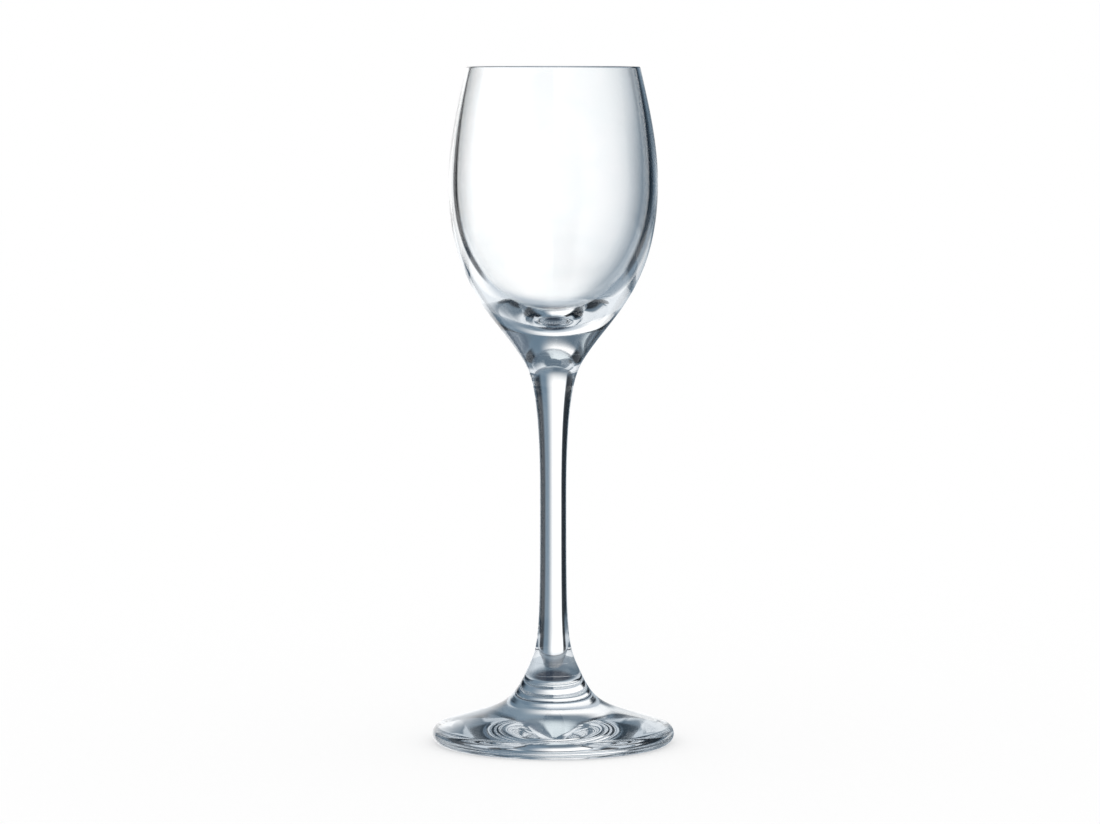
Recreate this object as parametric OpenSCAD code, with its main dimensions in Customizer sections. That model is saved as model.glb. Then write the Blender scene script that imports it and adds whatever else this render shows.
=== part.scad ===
// Cordial glass: a small stemmed glass of clear glass, made of a blown bowl, a drawn stem and a
// spread foot that are joined hot, face to face. It stands on the table at height zero, centred on
// the vertical axis.

/* [Overall] */
// Height of the whole glass, from the table to the top of the rim
total_h = 146; // [130:1:175]

/* [Bowl] */
// Height of the bowl, from its seam with the stem to the top of the rim
bowl_h = 61.5; // [58:0.5:68]
// Outer diameter of the rim
rim_d = 37.5; // [34:0.5:42]
// Lean of the wall at the rim, in degrees from upright
rim_lean = 12; // [6:1:16]
// Outer diameter at the widest part of the bowl
belly_d = 45; // [43:0.5:52]
// Distance from the top of the rim down to the widest part
belly_drop = 25; // [20:1:28]
// Thickness of the fire-polished lip
lip_wall = 1; // [0.7:0.1:1.6]
// Thickness of the wall at the widest part
belly_wall = 1.8; // [1.2:0.1:2.6]
// Thickness of the solid base, from the lowest point of the inside down to the seam
base_h = 6.8; // [4:0.2:10]

/* [Stem] */
// Diameter of the seam between the bowl and the stem
bowl_seam_d = 15; // [12:0.5:17]
// Lean of the outline at the bowl's seam, in degrees from upright
bowl_seam_lean = 34; // [30:0.5:42]
// Diameter of the stem at its waist
waist_d = 5.7; // [4.5:0.1:7]
// Height of the waist above the foot's seam
waist_rise = 38.5; // [28:0.5:44]

/* [Foot] */
// Height of the foot, from the table to its seam with the stem
foot_h = 15; // [13:0.5:18]
// Diameter of the seam between the stem and the foot
foot_seam_d = 12.1; // [10.5:0.1:14]
// Lean of the outline at the foot's seam, in degrees from upright
foot_seam_lean = 25; // [20:1:32]
// Outer diameter of the foot
foot_d = 52.4; // [46:0.2:60]
// Thickness of the foot's rounded edge
foot_edge = 3.8; // [2.4:0.1:4.4]
// Slope of the top face where it meets the rounded edge, in degrees from level
foot_slope = 17; // [10:1:22]
// Width of the flat ring that the glass stands on
ring_w = 2.6; // [1.5:0.1:4]
// Depth of the hollow under the foot
hollow_h = 1.2; // [0.6:0.1:1.8]

/* [Hidden] */

// Steps along one curve of an outline, along the lip and the foot's edge, and around the axis
curve_steps = 16;
edge_steps = 5;
$fn = 128;

// Pull of each curve at its two ends, as a share of the curve's own height or width
shoulder_rim_share = 0.24;
shoulder_belly_share = 0.38;
bowl_belly_share = 0.59;
bowl_seam_share = 0.27;
cup_floor_share = 0.4;
cup_side_share = 0.68;
stem_top_share = 0.13;
stem_top_waist_share = 0.8;
stem_foot_waist_share = 0.85;
stem_foot_share = 0.18;
foot_seam_share = 0.4;
foot_edge_share = 0.76;

// Heights and radii that the pieces share
bowl_z = total_h - bowl_h;
belly_z = total_h - belly_drop;
cup_z = bowl_z + base_h;
waist_z = foot_h + waist_rise;
bowl_seam_r = bowl_seam_d / 2;
foot_seam_r = foot_seam_d / 2;
waist_r = waist_d / 2;
lip_r = lip_wall / 2;
nose_r = foot_edge / 2;

// Directions: down along an outline that leans by an angle from upright, and level
function down(lean) = [-sin(lean), -cos(lean)];
up = [0, 1];
out = [1, 0];

// Points of a cubic curve from p to q. It leaves p along u and reaches q along v, each a vector
// whose length is the pull of the curve at that end.
function curve(p, u, v, q, steps = curve_steps) = [
    for (i = [0 : steps])
        let (t = i / steps, s = 1 - t)
            s^3 * p + 3 * s^2 * t * (p + u) + 3 * s * t^2 * (q - v) + t^3 * q
];

// Points of an arc about c, from angle a to angle b
function arc(c, r, a, b, steps = edge_steps) = [
    for (i = [0 : steps])
        let (w = a + (b - a) * i / steps)
            c + r * [cos(w), sin(w)]
];

// An outline in radius and height, turned about the vertical axis
module turned(points) rotate_extrude() polygon(points);

// The bowl's outline, from the middle of the inside up to the lip and down to the seam
module bowl() {
    lip = [rim_d / 2 - lip_r, total_h - lip_r];
    lip_side = lip_r * [cos(rim_lean), sin(rim_lean)];
    lip_in = lip - lip_side;
    lip_out = lip + lip_side;
    belly = [belly_d / 2, belly_z];
    belly_in = belly - [belly_wall, 0];
    floor_mid = [0, cup_z];
    seam = [bowl_seam_r, bowl_z];
    cup_rise = belly_z - cup_z;
    drop = belly_z - bowl_z;
    floor_pull = cup_floor_share * belly_in.x * out;
    side_pull = cup_side_share * cup_rise * up;
    belly_pull = shoulder_belly_share * belly_drop * up;
    rim_pull = shoulder_rim_share * belly_drop * down(-rim_lean);
    lower_pull = bowl_belly_share * drop * up;
    seam_pull = bowl_seam_share * drop * down(bowl_seam_lean);
    color([0.80, 0.88, 0.92])
        turned(concat(
            curve(floor_mid, floor_pull, side_pull, belly_in),
            curve(belly_in, belly_pull, -rim_pull, lip_in),
            arc(lip, lip_r, 180 + rim_lean, 90),
            arc(lip, lip_r, 90, rim_lean),
            curve(lip_out, rim_pull, -belly_pull, belly),
            curve(belly, -lower_pull, seam_pull, seam),
            [[0, bowl_z]]
        ));
}

// The stem's outline, from the bowl's seam through the waist to the foot's seam
module stem() {
    top = [bowl_seam_r, bowl_z];
    waist = [waist_r, waist_z];
    bottom = [foot_seam_r, foot_h];
    upper = bowl_z - waist_z;
    lower = waist_z - foot_h;
    top_pull = stem_top_share * upper * down(bowl_seam_lean);
    upper_pull = stem_top_waist_share * upper * up;
    lower_pull = stem_foot_waist_share * lower * up;
    bottom_pull = stem_foot_share * lower * down(-foot_seam_lean);
    color([0.72, 0.82, 0.88])
        turned(concat(
            [[0, bowl_z]],
            curve(top, top_pull, -upper_pull, waist),
            curve(waist, -lower_pull, bottom_pull, bottom),
            [[0, foot_h]]
        ));
}

// The foot's outline, from its seam over the low cone and round the edge to the hollow underneath
module foot() {
    seam = [foot_seam_r, foot_h];
    nose = [foot_d / 2 - nose_r, nose_r];
    edge = nose + nose_r * [sin(foot_slope), cos(foot_slope)];
    spread = edge.x - seam.x;
    ring_r = nose.x - ring_w;
    seam_pull = foot_seam_share * spread * down(-foot_seam_lean);
    edge_pull = foot_edge_share * spread * [cos(foot_slope), -sin(foot_slope)];
    hollow = [
        for (i = [0 : curve_steps])
            let (s = 1 - i / curve_steps)
                [ring_r * s, hollow_h * (1 - s^2)]
    ];
    color([0.76, 0.85, 0.90])
        turned(concat(
            [[0, foot_h]],
            curve(seam, seam_pull, edge_pull, edge),
            arc(nose, nose_r, 90 - foot_slope, 0),
            arc(nose, nose_r, 0, -90),
            hollow
        ));
}

bowl();
stem();
foot();
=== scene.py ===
"""A stemmed cordial glass in clear glass: a blown bowl, a drawn stem and a spread foot, and the
studio that they stand in. Every piece is an outline turned about the vertical axis."""

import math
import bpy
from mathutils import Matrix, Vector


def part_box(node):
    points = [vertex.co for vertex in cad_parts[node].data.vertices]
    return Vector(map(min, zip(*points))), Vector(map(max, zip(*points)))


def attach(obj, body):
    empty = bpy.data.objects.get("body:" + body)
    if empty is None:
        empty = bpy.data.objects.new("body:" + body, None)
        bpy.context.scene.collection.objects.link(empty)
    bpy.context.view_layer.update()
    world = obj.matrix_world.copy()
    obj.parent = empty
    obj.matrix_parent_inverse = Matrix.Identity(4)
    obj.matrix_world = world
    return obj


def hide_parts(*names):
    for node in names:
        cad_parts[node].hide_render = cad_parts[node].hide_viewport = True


bl_info = {
    "name": "Cordial Glass",
    "version": (1, 0, 0),
    "blender": (4, 5, 0),
    "location": "3D View > Sidebar > Cordial Glass",
    "description": "Makes a small stemmed glass of clear glass and a bright studio around it",
    "category": "Add Mesh",
}

import bpy
from bpy.props import (
    CollectionProperty,
    FloatProperty,
    FloatVectorProperty,
    IntProperty,
    PointerProperty,
)
from mathutils import Vector

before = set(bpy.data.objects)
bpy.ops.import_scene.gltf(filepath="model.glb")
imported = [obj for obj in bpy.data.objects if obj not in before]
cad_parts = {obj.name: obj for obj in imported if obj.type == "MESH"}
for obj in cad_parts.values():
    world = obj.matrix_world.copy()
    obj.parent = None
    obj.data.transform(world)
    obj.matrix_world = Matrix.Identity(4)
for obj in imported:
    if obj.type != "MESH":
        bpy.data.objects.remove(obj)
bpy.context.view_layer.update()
BOWL_LOW, BOWL_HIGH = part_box("bowl")
FOOT_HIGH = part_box("foot")[1]
BODY = "root"
FULL_TURN = 2 * math.pi
QUARTER = math.pi / 2
UP = Vector((0, 1))
OUT = Vector((1, 0))
BOX_TOLERANCE = 0.0001

# Only the middle of a seam is marked, with a 1, so a face whose mean mark is over this is a seam
SEAM_MARK = 0.2

# Noise values between which the melt's tint and the wiping marks rise from none to full
TINT_RANGE = (0.3, 0.7)
WIPE_RANGE = (0.55, 0.8)


# Nodes

class Value:
    """One output of a node that can stand in a Python sum. Each operation adds a Math node."""

    def __init__(self, nodes, node, output):
        self.nodes = nodes
        self.node = node
        self.socket = find_socket(node.outputs, output)

    def other(self, output):
        """Another output of the same node."""
        return Value(self.nodes, self.node, output)

    def math(self, operation, *values):
        return self.nodes.math(operation, self, *values)

    def __add__(self, other):
        return self.nodes.math("ADD", self, other)

    def __radd__(self, other):
        return self.nodes.math("ADD", other, self)

    def __sub__(self, other):
        return self.nodes.math("SUBTRACT", self, other)

    def __rsub__(self, other):
        return self.nodes.math("SUBTRACT", other, self)

    def __mul__(self, other):
        return self.nodes.math("MULTIPLY", self, other)

    def __rmul__(self, other):
        return self.nodes.math("MULTIPLY", other, self)

    def __truediv__(self, other):
        return self.nodes.math("DIVIDE", self, other)

    def __rtruediv__(self, other):
        return self.nodes.math("DIVIDE", other, self)


def find_socket(sockets, key):
    """The socket with this place, identifier or name."""
    if isinstance(key, int):
        return sockets[key]
    for socket in sockets:
        if key == socket.identifier:
            return socket
    return sockets[key]


class Nodes:
    """Adds nodes to one tree."""

    def __init__(self, tree):
        self.tree = tree

    def add(self, kind, settings=None, sockets=None, output=0):
        """A node of this kind, with its settings set first, then its sockets' values or links."""
        node = self.tree.nodes.new(kind)
        for name, value in (settings or {}).items():
            setattr(node, name, value)
        for key, value in (sockets or {}).items():
            socket = find_socket(node.inputs, key)
            if isinstance(value, Value):
                self.tree.links.new(value.socket, socket)
            else:
                socket.default_value = value
        return Value(self, node, output) if len(node.outputs) else None

    def math(self, operation, *values):
        return self.add("ShaderNodeMath", {"operation": operation}, dict(enumerate(values)))

    def rise(self, value, start, end):
        """A smooth rise from 0 at start to 1 at end."""
        sockets = {"Value": value, "From Min": start, "From Max": end}
        return self.add("ShaderNodeMapRange", {"interpolation_type": "SMOOTHSTEP"}, sockets)

    def edge(self, value, place, fade):
        """A smooth rise this wide about a place, or a smooth fall where the fade is negative."""
        return self.rise(value, place - fade / 2, place + fade / 2)

    def blend(self, share, first, second):
        """The first colour where the share is 0, and the second where it is 1."""
        sockets = {"Factor_Float": share, "A_Color": first, "B_Color": second}
        return self.add("ShaderNodeMix", {"data_type": "RGBA"}, sockets, "Result_Color")


def bare_nodes(thing):
    """The emptied node tree of a new material or world."""
    thing.use_nodes = True
    thing.node_tree.nodes.clear()
    return Nodes(thing.node_tree)


def opaque(colour):
    return (*colour, 1.0)


# Sizes, finish and studio

def length(name, description, default):
    return FloatProperty(
        name=name, description=description, default=default, min=0.0001, unit="LENGTH", precision=5)


def share(name, description, default):
    return FloatProperty(
        name=name, description=description, default=default, min=0.0, max=1.0, subtype="FACTOR")


def angle(name, description, degrees):
    return FloatProperty(
        name=name, description=description, default=math.radians(degrees), subtype="ANGLE")


class GlassSizes(bpy.types.PropertyGroup):
    """Sizes of the outline, the same as the solids'."""

    total_h: length("Height", "Height from the table to the top of the rim", BOWL_HIGH.z)
    bowl_z: length("Bowl seam height", "Height of the seam under the bowl", BOWL_LOW.z)
    foot_h: length("Foot seam height", "Height of the seam over the foot", FOOT_HIGH.z)
    belly_d: length("Belly diameter", "Diameter at the widest part of the bowl", 2 * BOWL_HIGH.x)
    foot_d: length("Foot diameter", "Outer diameter of the foot", 2 * FOOT_HIGH.x)
    rim_d: length("Rim diameter", "Outer diameter of the rim", 0.0375)
    rim_lean: angle("Rim lean", "Lean of the wall at the rim, from upright", 12)
    belly_drop: length("Belly drop", "Distance from the rim down to the widest part", 0.025)
    lip_wall: length("Lip", "Thickness of the fire-polished lip", 0.001)
    belly_wall: length("Wall", "Thickness of the wall at the widest part", 0.0018)
    base_h: length("Base", "Thickness of the bowl's solid base, down to its seam", 0.0068)
    bowl_seam_d: length("Bowl seam", "Diameter of the seam under the bowl", 0.015)
    bowl_seam_lean: angle("Bowl seam lean", "Lean of the outline at the bowl's seam", 34)
    waist_d: length("Waist", "Diameter of the stem at its waist", 0.0057)
    waist_rise: length("Waist height", "Height of the waist above the foot's seam", 0.0385)
    foot_seam_d: length("Foot seam", "Diameter of the seam over the foot", 0.0121)
    foot_seam_lean: angle("Foot seam lean", "Lean of the outline at the foot's seam", 25)
    foot_edge: length("Foot edge", "Thickness of the foot's rounded edge", 0.0038)
    foot_slope: angle("Foot slope", "Slope of the foot's top where it meets its edge", 17)
    ring_w: length("Ring", "Width of the ring that the glass stands on", 0.0026)
    hollow_h: length("Hollow", "Depth of the hollow under the foot", 0.0012)


class GlassPulls(bpy.types.PropertyGroup):
    """Pull of each curve at its two ends, as a share of the curve's own height or width."""

    shoulder_rim: share("Shoulder at the rim", "Pull of the shoulder at the rim", 0.24)
    shoulder_belly: share("Shoulder at the belly", "Pull of the shoulder at the belly", 0.38)
    bowl_belly: share("Bowl at the belly", "Pull of the lower bowl at the belly", 0.59)
    bowl_seam: share("Bowl at the seam", "Pull of the lower bowl at its seam", 0.27)
    cup_floor: share("Cup at its floor", "Pull of the inside at its lowest point", 0.4)
    cup_side: share("Cup at its side", "Pull of the inside at the belly", 0.68)
    stem_top: share("Stem at its top", "Pull of the stem under the bowl", 0.13)
    stem_top_waist: share("Stem over the waist", "Pull of the upper stem at the waist", 0.8)
    stem_foot_waist: share("Stem under the waist", "Pull of the lower stem at the waist", 0.85)
    stem_foot: share("Stem at the foot", "Pull of the stem over the foot", 0.18)
    foot_seam: share("Foot at its seam", "Pull of the foot's top at its seam", 0.4)
    foot_edge: share("Foot at its edge", "Pull of the foot's top at its edge", 0.76)


class GlassFinish(bpy.types.PropertyGroup):
    """How smooth the pieces are, and what their glass is like."""

    steps_around: IntProperty(
        name="Steps around", description="Steps around the axis", default=320, min=16)
    curve_steps: IntProperty(
        name="Steps along a curve", description="Steps along one curve of an outline",
        default=40, min=4)
    edge_steps: IntProperty(
        name="Steps round an edge", description="Steps round the lip or the foot's edge",
        default=10, min=2)
    weld: length("Weld", "Points closer than this become one", 0.000001)
    ior: FloatProperty(
        name="Refraction", description="Index of refraction of the glass", default=1.52, min=1.0)
    clear: FloatVectorProperty(
        name="Clear", description="Tint of the clearest glass", subtype="COLOR",
        default=(1.0, 1.0, 1.0), min=0.0, max=1.0)
    tinged: FloatVectorProperty(
        name="Tinged", description="Tint where the melt is least even", subtype="COLOR",
        default=(0.975, 0.988, 0.990), min=0.0, max=1.0)
    cord_size: length("Cord size", "Width of the faint cords in the melt", 0.012)
    wave_size: length("Wave size", "Width of the slow waves left by blowing", 0.018)
    wave_depth: FloatProperty(
        name="Wave depth", description="Depth of the waves", default=0.000004, min=0.0,
        unit="LENGTH", precision=6)
    haze: FloatProperty(
        name="Haze", description="Roughness of the faintest wiping marks", default=0.006,
        min=0.0, max=1.0)
    haze_size: length("Haze size", "Width of the wiping marks", 0.009)


class SoftPanel(bpy.types.PropertyGroup):
    """One lit or dark panel of the studio, by the directions in which the glass sees it."""

    left: angle("Left", "Direction of its left edge, from straight behind the glass", 0)
    right: angle("Right", "Direction of its right edge", 0)
    low: angle("Low", "Height angle of its lower edge", 0)
    high: angle("High", "Height angle of its upper edge", 0)
    left_fade: angle("Left fade", "Width of the fade at its left edge", 5)
    right_fade: angle("Right fade", "Width of the fade at its right edge", 5)
    low_fade: angle("Low fade", "Width of the fade at its lower edge", 5)
    high_fade: angle("High fade", "Width of the fade at its upper edge", 5)
    colour: FloatVectorProperty(
        name="Colour", description="Colour and brightness of the panel", subtype="COLOR",
        default=(1.0, 1.0, 1.0), min=0.0, max=2.0)


class StageSettings(bpy.types.PropertyGroup):
    """The room, the table and the camera."""

    panels: CollectionProperty(type=SoftPanel)
    room: FloatVectorProperty(
        name="Room", description="Colour of the room where no panel stands", subtype="COLOR",
        default=(0.13, 0.18, 0.23), min=0.0, max=1.0)
    backdrop: FloatVectorProperty(
        name="Backdrop", description="Colour of the backdrop and the table", subtype="COLOR",
        default=(1.0, 1.0, 1.0), min=0.0, max=1.0)
    table_size: length("Table", "Width of the table top", 6.0)
    shadow: share("Shadow", "How much of its own shadow the table shows", 0.5)
    camera_distance: length("Camera distance", "From the glass's axis to the camera", 0.9198)
    camera_height: length("Camera height", "Height of the camera above the table", 0.14921)
    camera_side: FloatProperty(
        name="Camera side", description="Camera's place to the right of the axis",
        default=-0.000687, unit="LENGTH", precision=6)
    camera_tilt: angle("Camera tilt", "How far the camera looks down", 4.816)
    lens: FloatProperty(
        name="Lens", description="Focal length", default=140.12, min=1.0, unit="CAMERA")
    light_bounces: IntProperty(
        name="Light bounces", description="Bounces of light inside the glass", default=32, min=4)


# Outlines, as points of radius and height

def leaning(lean):
    """The direction down along an outline that leans by this angle from upright."""
    return Vector((-math.sin(lean), -math.cos(lean)))


def curve(start, start_pull, end_pull, end, steps):
    """Points of a cubic curve, closer together towards its ends."""
    points = []
    for i in range(steps + 1):
        t = (1 - math.cos(math.pi * i / steps)) / 2
        s = 1 - t
        points.append(
            s**3 * start
            + 3 * s * s * t * (start + start_pull)
            + 3 * s * t * t * (end - end_pull)
            + t**3 * end
        )
    return points


def arc(centre, radius, start, end, steps):
    """Points of an arc from one angle to another."""
    points = []
    for i in range(steps + 1):
        a = start + (end - start) * i / steps
        points.append(centre + radius * Vector((math.cos(a), math.sin(a))))
    return points


def joined(*runs):
    """Runs of points in one list, with the points that two runs share left out once."""
    points = list(runs[0])
    for run in runs[1:]:
        points.extend(run[1:])
    return points


def bowl_outline(size, pull, finish):
    """From the lowest point of the inside, over the lip and down the outside to the seam."""
    lip_r = size.lip_wall / 2
    belly_z = size.total_h - size.belly_drop
    cup_z = size.bowl_z + size.base_h
    lip = Vector((size.rim_d / 2 - lip_r, size.total_h - lip_r))
    lip_side = lip_r * Vector((math.cos(size.rim_lean), math.sin(size.rim_lean)))
    belly = Vector((size.belly_d / 2, belly_z))
    belly_in = belly - size.belly_wall * OUT
    drop = belly_z - size.bowl_z
    rim_pull = pull.shoulder_rim * size.belly_drop * leaning(-size.rim_lean)
    belly_pull = pull.shoulder_belly * size.belly_drop * UP
    steps, edge_steps = finish.curve_steps, finish.edge_steps
    return joined(
        curve(Vector((0, cup_z)), pull.cup_floor * belly_in.x * OUT,
              pull.cup_side * (belly_z - cup_z) * UP, belly_in, steps),
        curve(belly_in, belly_pull, -rim_pull, lip - lip_side, steps),
        arc(lip, lip_r, math.pi + size.rim_lean, QUARTER, edge_steps),
        arc(lip, lip_r, QUARTER, size.rim_lean, edge_steps),
        curve(lip + lip_side, rim_pull, -belly_pull, belly, steps),
        curve(belly, -pull.bowl_belly * drop * UP,
              pull.bowl_seam * drop * leaning(size.bowl_seam_lean),
              Vector((size.bowl_seam_d / 2, size.bowl_z)), steps),
    )


def stem_outline(size, pull, finish):
    """From the bowl's seam through the waist to the foot's seam."""
    waist = Vector((size.waist_d / 2, size.foot_h + size.waist_rise))
    upper = size.bowl_z - waist.y
    lower = waist.y - size.foot_h
    return joined(
        curve(Vector((size.bowl_seam_d / 2, size.bowl_z)),
              pull.stem_top * upper * leaning(size.bowl_seam_lean),
              -pull.stem_top_waist * upper * UP, waist, finish.curve_steps),
        curve(waist, -pull.stem_foot_waist * lower * UP,
              pull.stem_foot * lower * leaning(-size.foot_seam_lean),
              Vector((size.foot_seam_d / 2, size.foot_h)), finish.curve_steps),
    )


def foot_outline(size, pull, finish):
    """From the stem's seam over the low cone, round the edge and under the hollow."""
    nose_r = size.foot_edge / 2
    slope = size.foot_slope
    seam = Vector((size.foot_seam_d / 2, size.foot_h))
    nose = Vector((size.foot_d / 2 - nose_r, nose_r))
    edge = nose + nose_r * Vector((math.sin(slope), math.cos(slope)))
    spread = edge.x - seam.x
    ring = Vector((nose.x - size.ring_w, 0))
    hollow = []
    for i in range(finish.curve_steps + 1):
        s = 1 - i / finish.curve_steps
        hollow.append(Vector((ring.x * s, size.hollow_h * (1 - s * s))))
    return joined(
        curve(seam, pull.foot_seam * spread * leaning(-size.foot_seam_lean),
              pull.foot_edge * spread * Vector((math.cos(slope), -math.sin(slope))), edge,
              finish.curve_steps),
        arc(nose, nose_r, QUARTER - slope, 0, finish.edge_steps),
        arc(nose, nose_r, 0, -QUARTER, finish.edge_steps),
        [Vector((nose.x, 0)), ring],
        hollow,
    )


# Glass

def blown_glass(finish):
    """Clear glass with a trace of tint, slow waves from blowing and the faintest wiping marks."""
    material = bpy.data.materials.new("blown_glass")
    nodes = bare_nodes(material)
    place = nodes.add("ShaderNodeTexCoord", output="Object")
    cords = nodes.add(
        "ShaderNodeTexNoise", None,
        {"Vector": place, "Scale": 1 / finish.cord_size, "Detail": 2.0, "Distortion": 1.5})
    waves = nodes.add(
        "ShaderNodeTexNoise", None,
        {"Vector": place, "Scale": 1 / finish.wave_size, "Detail": 1.0})
    wipes = nodes.add(
        "ShaderNodeTexNoise", None,
        {"Vector": place, "Scale": 1 / finish.haze_size, "Detail": 3.0})
    tint = nodes.blend(
        nodes.rise(cords, *TINT_RANGE), opaque(finish.clear), opaque(finish.tinged))
    bump = nodes.add(
        "ShaderNodeBump", None,
        {"Strength": 1.0, "Distance": finish.wave_depth, "Height": waves})
    glass = nodes.add(
        "ShaderNodeBsdfPrincipled", None,
        {"Base Color": tint, "Roughness": nodes.rise(wipes, *WIPE_RANGE) * finish.haze,
         "IOR": finish.ior, "Transmission Weight": 1.0, "Normal": bump})
    nodes.add("ShaderNodeOutputMaterial", None, {"Surface": glass})
    return material


def fused_seam():
    """The face of a hot joint, which light passes as if it weren't there."""
    material = bpy.data.materials.new("fused_seam")
    nodes = bare_nodes(material)
    through = nodes.add("ShaderNodeBsdfTransparent", None, {"Color": (1, 1, 1, 1)})
    nodes.add("ShaderNodeOutputMaterial", None, {"Surface": through})
    return material


def turning_tree():
    """Geometry Nodes that turn an outline of points about the vertical axis."""
    tree = bpy.data.node_groups.new("Turned Glass", "GeometryNodeTree")
    for name, kind in (
        ("Outline", "NodeSocketGeometry"),
        ("Steps Around", "NodeSocketInt"),
        ("Weld Distance", "NodeSocketFloat"),
        ("Glass", "NodeSocketMaterial"),
        ("Fused Seam", "NodeSocketMaterial"),
    ):
        tree.interface.new_socket(name, in_out="INPUT", socket_type=kind)
    tree.interface.new_socket("Piece", in_out="OUTPUT", socket_type="NodeSocketGeometry")
    nodes = Nodes(tree)
    given = nodes.add("NodeGroupInput", output="Outline")
    steps = given.other("Steps Around")
    count = nodes.add("GeometryNodeAttributeDomainSize", {"component": "MESH"}, {0: given})
    sheet = nodes.add(
        "GeometryNodeMeshGrid", None,
        {"Size X": 1.0, "Size Y": 1.0, "Vertices X": steps + 1, "Vertices Y": count})
    index = nodes.add("GeometryNodeInputIndex")
    column = (index / count).math("FLOOR")
    row = index - column * count
    turn = column / steps * FULL_TURN
    position = nodes.add(
        "GeometryNodeSampleIndex", {"data_type": "FLOAT_VECTOR"},
        {"Geometry": given, "Value": nodes.add("GeometryNodeInputPosition"), "Index": row})
    seam_mark = nodes.add(
        "GeometryNodeInputNamedAttribute", {"data_type": "FLOAT"}, {"Name": "seam"}, "Attribute")
    marked = nodes.add(
        "GeometryNodeSampleIndex", {"data_type": "FLOAT"},
        {"Geometry": given, "Value": seam_mark, "Index": row})
    radius = nodes.add("ShaderNodeSeparateXYZ", None, {0: position}, "X")
    turned = nodes.add(
        "ShaderNodeCombineXYZ", None,
        {"X": radius * turn.math("COSINE"), "Y": radius * turn.math("SINE"),
         "Z": radius.other("Z")})
    placed = nodes.add("GeometryNodeSetPosition", None, {"Geometry": sheet, "Position": turned})
    stored = nodes.add(
        "GeometryNodeStoreNamedAttribute", {"data_type": "FLOAT", "domain": "POINT"},
        {"Geometry": placed, "Name": "seam", "Value": marked})
    welded = nodes.add(
        "GeometryNodeMergeByDistance", None,
        {"Geometry": stored, "Distance": given.other("Weld Distance")})
    seam = nodes.add(
        "GeometryNodeInputNamedAttribute", {"data_type": "FLOAT"}, {"Name": "seam"}, "Attribute")
    on_seam = nodes.add(
        "FunctionNodeCompare", {"data_type": "FLOAT", "operation": "GREATER_THAN"},
        {"A": seam, "B": SEAM_MARK})
    outward = nodes.add("GeometryNodeFlipFaces", None, {"Mesh": welded})
    smooth = nodes.add(
        "GeometryNodeSetShadeSmooth", None, {"Geometry": outward, "Shade Smooth": True})
    flat_seams = nodes.add(
        "GeometryNodeSetShadeSmooth", None,
        {"Geometry": smooth, "Selection": on_seam, "Shade Smooth": False})
    real = nodes.add("GeometryNodeRealizeInstances", None, {"Geometry": flat_seams})
    glazed = nodes.add(
        "GeometryNodeSetMaterial", None, {"Geometry": real, "Material": given.other("Glass")})
    finished = nodes.add(
        "GeometryNodeSetMaterial", None,
        {"Geometry": glazed, "Selection": on_seam, "Material": given.other("Fused Seam")})
    nodes.add("NodeGroupOutput", None, {"Piece": finished})
    return tree


def shared(collection, name, make):
    """The thing of this name, made the first time that it is asked for."""
    return collection.get(name) or make()


def turn_piece(name, node, outline, seam_ends):
    """One closed piece of glass that stands for a CAD node, with its flat ends marked as seams."""
    finish = bpy.context.scene.glass_finish
    points = list(outline)
    marks = [0.0] * len(points)
    if "first" in seam_ends:
        points.insert(0, Vector((0, points[0].y)))
        marks.insert(0, 1.0)
    if "last" in seam_ends:
        points.append(Vector((0, points[-1].y)))
        marks.append(1.0)
    mesh = bpy.data.meshes.new(name + "_outline")
    edges = [(i, i + 1) for i in range(len(points) - 1)]
    mesh.from_pydata([(p.x, 0, p.y) for p in points], edges, [])
    mesh.attributes.new("seam", "FLOAT", "POINT").data.foreach_set("value", marks)
    piece = bpy.data.objects.new(name, mesh)
    bpy.context.scene.collection.objects.link(piece)
    modifier = piece.modifiers.new("Turn", "NODES")
    modifier.node_group = shared(bpy.data.node_groups, "Turned Glass", turning_tree)
    values = {
        "Steps Around": finish.steps_around,
        "Weld Distance": finish.weld,
        "Glass": shared(bpy.data.materials, "blown_glass", lambda: blown_glass(finish)),
        "Fused Seam": shared(bpy.data.materials, "fused_seam", fused_seam),
    }
    for item in modifier.node_group.interface.items_tree:
        if item.name in values:
            modifier[item.identifier] = values[item.name]
    depsgraph = bpy.context.evaluated_depsgraph_get()
    finished = bpy.data.meshes.new_from_object(piece.evaluated_get(depsgraph), depsgraph=depsgraph)
    piece.modifiers.remove(modifier)
    piece.data = finished
    bpy.data.meshes.remove(mesh)
    finished.name = name
    finished.attributes.remove(finished.attributes["seam"])
    if finished.materials[0] is None:
        finished.materials.pop(index=0)
    check_piece(piece, node)
    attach(piece, BODY)
    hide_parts(node)


def check_piece(piece, node):
    """Stops if a piece isn't closed, is inside out or departs from its solid's box."""
    mesh = piece.data
    edge_uses = [0] * len(mesh.edges)
    for loop in mesh.loops:
        edge_uses[loop.edge_index] += 1
    if any(uses != 2 for uses in edge_uses):
        raise RuntimeError(f"{piece.name} isn't a closed mesh")
    mesh.calc_loop_triangles()
    corners = [v.co for v in mesh.vertices]
    volume = 0.0
    for triangle in mesh.loop_triangles:
        a, b, c = (corners[i] for i in triangle.vertices)
        volume += a.dot(b.cross(c)) / 6
    if volume <= 0:
        raise RuntimeError(f"{piece.name} is inside out")
    for low_or_high, pick in zip(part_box(node), (min, max)):
        for axis in range(3):
            if abs(pick(c[axis] for c in corners) - low_or_high[axis]) > BOX_TOLERANCE:
                raise RuntimeError(f"{piece.name} departs from the solid {node}")


# Studio

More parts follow.
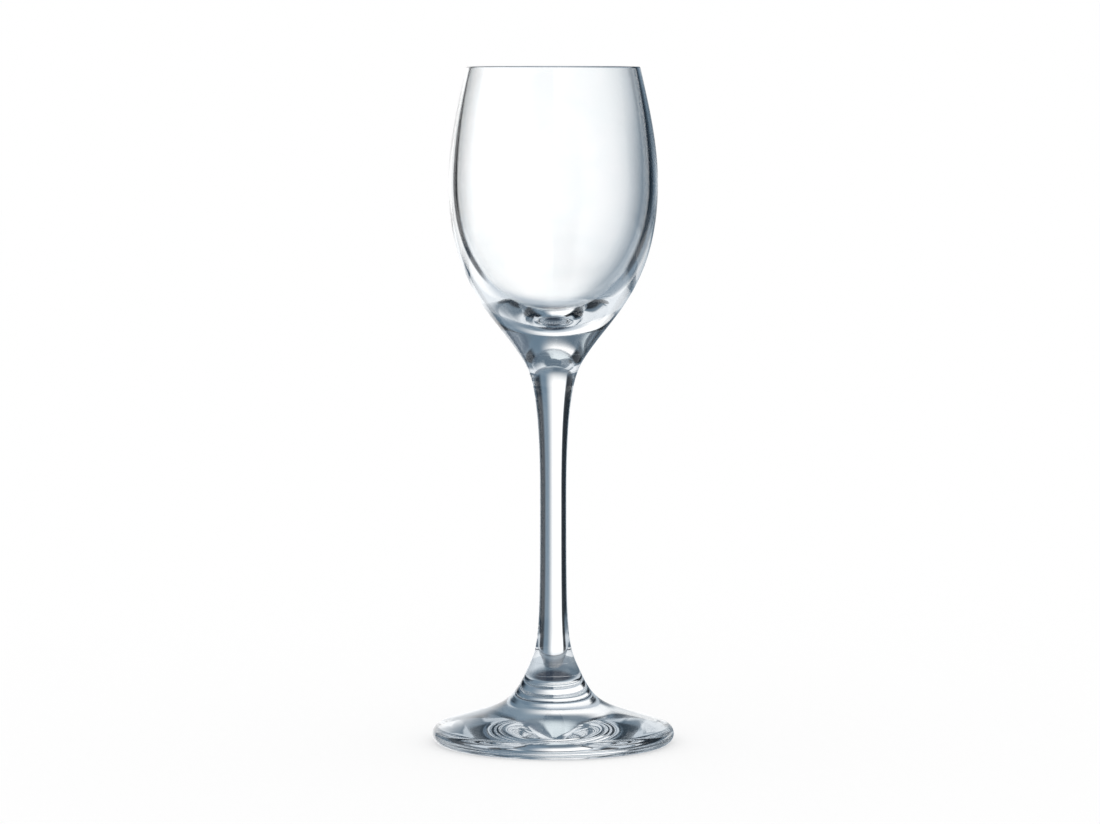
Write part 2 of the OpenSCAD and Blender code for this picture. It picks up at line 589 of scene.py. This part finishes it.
# Each panel: name, left, right, low and high edge in degrees, the width of the fade at each edge in
# the same order, and the colour. A later panel covers an earlier one.
PANELS = (
    ("Dark floor", -186, 186, -95, -60, 4, 4, 4, 12, (0.03, 0.04, 0.06)),
    ("Pale table", -76, 150, -50, -17, 8, 10, 16, 6, (0.60, 0.66, 0.72)),
    ("Left table", -168, -76, -42, -20, 8, 8, 12, 6, (0.24, 0.29, 0.34)),
    ("Left card", -145, -72, -18, 46, 16, 8, 6, 10, (0.86, 0.90, 0.94)),
    ("Right card", 93, 182, -22, 68, 40, 10, 6, 14, (0.86, 0.90, 0.94)),
    ("Ceiling light", -48, 14, 44, 79, 8, 10, 16, 5, (0.76, 0.84, 0.88)),
    ("Blue wall", 5, 38, -50, 34, 6, 6, 8, 8, (0.15, 0.22, 0.29)),
    ("Back panel", -28, 7, -34, 20, 5, 20, 16, 20, (1.20, 1.20, 1.20)),
    ("Far left flag", -78, -56, 36, 56, 8, 12, 10, 8, (0.03, 0.04, 0.05)),
    ("Upper left flag", -60, -32, 16, 38, 8, 8, 4, 10, (0.05, 0.07, 0.09)),
    ("Upper right flag", 29, 72, 28, 50, 6, 10, 6, 9, (0.10, 0.14, 0.19)),
    ("Left flag", -62, -29, -12, 24, 8, 6, 3, 8, (0.003, 0.004, 0.006)),
    ("Right flag", 27, 58, -18, 24, 10, 8, 3, 8, (0.006, 0.012, 0.02)),
    ("Low left flag", -40, -28, -34, -10, 6, 6, 8, 3, (0.003, 0.004, 0.006)),
    ("Low right flag", 27, 46, -32, -16, 8, 4, 8, 3, (0.006, 0.012, 0.02)),
)


def studio_world(stage):
    """The room by direction, as the glass sees it. The camera and the table see the backdrop."""
    world = bpy.data.worlds.new("studio")
    world.cycles.sampling_method = "NONE"
    nodes = bare_nodes(world)
    direction = nodes.add("ShaderNodeTexCoord", output="Generated")
    x = nodes.add("ShaderNodeSeparateXYZ", None, {0: direction}, "X")
    side = x.math("ARCTAN2", x.other("Y"))
    height = x.other("Z").math("ARCSINE")
    colour = opaque(stage.room)
    for panel in stage.panels:
        inside = (
            nodes.edge(side, panel.left, panel.left_fade)
            * nodes.edge(side, panel.right, -panel.right_fade)
            * nodes.edge(height, panel.low, panel.low_fade)
            * nodes.edge(height, panel.high, -panel.high_fade)
        )
        colour = nodes.blend(inside, colour, opaque(panel.colour))
    ray = nodes.add("ShaderNodeLightPath", output="Is Camera Ray")
    plain = ray.math("MAXIMUM", ray.other("Is Diffuse Ray"))
    seen = nodes.blend(plain, colour, opaque(stage.backdrop))
    light = nodes.add("ShaderNodeBackground", None, {"Color": seen, "Strength": 1.0})
    nodes.add("ShaderNodeOutputWorld", None, {"Surface": light})
    return world


def table_material(stage):
    """A plain pale table that keeps the shadow. The glass sees the room's glow through it."""
    material = bpy.data.materials.new("pale_table")
    nodes = bare_nodes(material)
    colour = opaque(stage.backdrop)
    lit = nodes.add("ShaderNodeBsdfDiffuse", None, {"Color": colour})
    glow = nodes.add("ShaderNodeEmission", None, {"Color": colour, "Strength": 1.0})
    top = nodes.add("ShaderNodeMixShader", None, {0: stage.shadow, 1: glow, 2: lit})
    clear = nodes.add("ShaderNodeBsdfTransparent", None, {"Color": (1, 1, 1, 1)})
    ray = nodes.add("ShaderNodeLightPath", output="Is Glossy Ray")
    by_glass = ray.math("MAXIMUM", ray.other("Is Transmission Ray"))
    both = nodes.add("ShaderNodeMixShader", None, {0: by_glass, 1: top, 2: clear})
    nodes.add("ShaderNodeOutputMaterial", None, {"Surface": both})
    return material


# Operators and panel

class GLASS_OT_bowl(bpy.types.Operator):
    """Blow the bowl: a tapering wall on a thick solid base"""

    bl_idname = "cordial_glass.bowl"
    bl_label = "Blow the Bowl"
    bl_options = {"REGISTER", "UNDO"}

    def execute(self, context):
        scene = context.scene
        outline = bowl_outline(scene.glass_sizes, scene.glass_pulls, scene.glass_finish)
        turn_piece("glass_bowl", "bowl", outline, ("last",))
        return {"FINISHED"}


class GLASS_OT_stem(bpy.types.Operator):
    """Draw the stem: a slender waist between two flares"""

    bl_idname = "cordial_glass.stem"
    bl_label = "Draw the Stem"
    bl_options = {"REGISTER", "UNDO"}

    def execute(self, context):
        scene = context.scene
        outline = stem_outline(scene.glass_sizes, scene.glass_pulls, scene.glass_finish)
        turn_piece("glass_stem", "stem", outline, ("first", "last"))
        return {"FINISHED"}


class GLASS_OT_foot(bpy.types.Operator):
    """Spread the foot: a low cone with a rounded edge and a hollow underneath"""

    bl_idname = "cordial_glass.foot"
    bl_label = "Spread the Foot"
    bl_options = {"REGISTER", "UNDO"}

    def execute(self, context):
        scene = context.scene
        outline = foot_outline(scene.glass_sizes, scene.glass_pulls, scene.glass_finish)
        turn_piece("glass_foot", "foot", outline, ("first",))
        return {"FINISHED"}


class GLASS_OT_stage(bpy.types.Operator):
    """Set the stage: the room's light, the pale table and the camera"""

    bl_idname = "cordial_glass.stage"
    bl_label = "Set the Stage"
    bl_options = {"REGISTER", "UNDO"}

    def execute(self, context):
        scene = context.scene
        stage = scene.glass_stage
        sides = ("left", "right", "low", "high")
        fields = sides + tuple(side + "_fade" for side in sides)
        stage.panels.clear()
        for name, *angles, colour in PANELS:
            panel = stage.panels.add()
            panel.name = name
            panel.colour = colour
            for field, degrees in zip(fields, angles, strict=True):
                setattr(panel, field, math.radians(degrees))
        scene.world = studio_world(stage)
        half = stage.table_size / 2
        mesh = bpy.data.meshes.new("table_top")
        corners = [(-half, -half, 0), (half, -half, 0), (half, half, 0), (-half, half, 0)]
        mesh.from_pydata(corners, [], [(0, 1, 2, 3)])
        mesh.materials.append(table_material(stage))
        table = bpy.data.objects.new("table_top", mesh)
        scene.collection.objects.link(table)
        camera = bpy.data.objects.new("camera", bpy.data.cameras.new("camera"))
        camera.data.lens = stage.lens
        camera.location = (stage.camera_side, -stage.camera_distance, stage.camera_height)
        camera.rotation_euler = (QUARTER - stage.camera_tilt, 0, 0)
        scene.collection.objects.link(camera)
        scene.camera = camera
        scene.view_settings.view_transform = "Standard"
        for kind in ("max", "transmission", "glossy", "transparent_max"):
            setattr(scene.cycles, kind + "_bounces", stage.light_bounces)
        return {"FINISHED"}


class GLASS_PT_sidebar(bpy.types.Panel):
    """The pieces and the stage, in the order in which they are made"""

    bl_idname = "GLASS_PT_sidebar"
    bl_label = "Cordial Glass"
    bl_space_type = "VIEW_3D"
    bl_region_type = "UI"
    bl_category = "Cordial Glass"

    def draw(self, context):
        scene = context.scene
        layout = self.layout
        for operator in OPERATORS:
            layout.operator(operator.bl_idname)
        for name, group in SETTINGS.items():
            box = layout.box()
            box.label(text=group.__doc__.splitlines()[0])
            for field in group.__annotations__:
                if field != "panels":
                    box.prop(getattr(scene, name), field)
        for panel in scene.glass_stage.panels:
            box = layout.box()
            box.label(text=panel.name)
            for field in SoftPanel.__annotations__:
                box.prop(panel, field)


OPERATORS = (GLASS_OT_bowl, GLASS_OT_stem, GLASS_OT_foot, GLASS_OT_stage)
SETTINGS = {
    "glass_sizes": GlassSizes,
    "glass_pulls": GlassPulls,
    "glass_finish": GlassFinish,
    "glass_stage": StageSettings,
}
CLASSES = (SoftPanel, *SETTINGS.values(), *OPERATORS, GLASS_PT_sidebar)


def register():
    for cls in CLASSES:
        bpy.utils.register_class(cls)
    for name, group in SETTINGS.items():
        setattr(bpy.types.Scene, name, PointerProperty(type=group))


def unregister():
    for name in SETTINGS:
        delattr(bpy.types.Scene, name)
    for cls in reversed(CLASSES):
        bpy.utils.unregister_class(cls)


def main():
    register()
    bpy.ops.cordial_glass.bowl()
    bpy.ops.cordial_glass.stem()
    bpy.ops.cordial_glass.foot()
    bpy.ops.cordial_glass.stage()


if __name__ == "__main__":
    main()
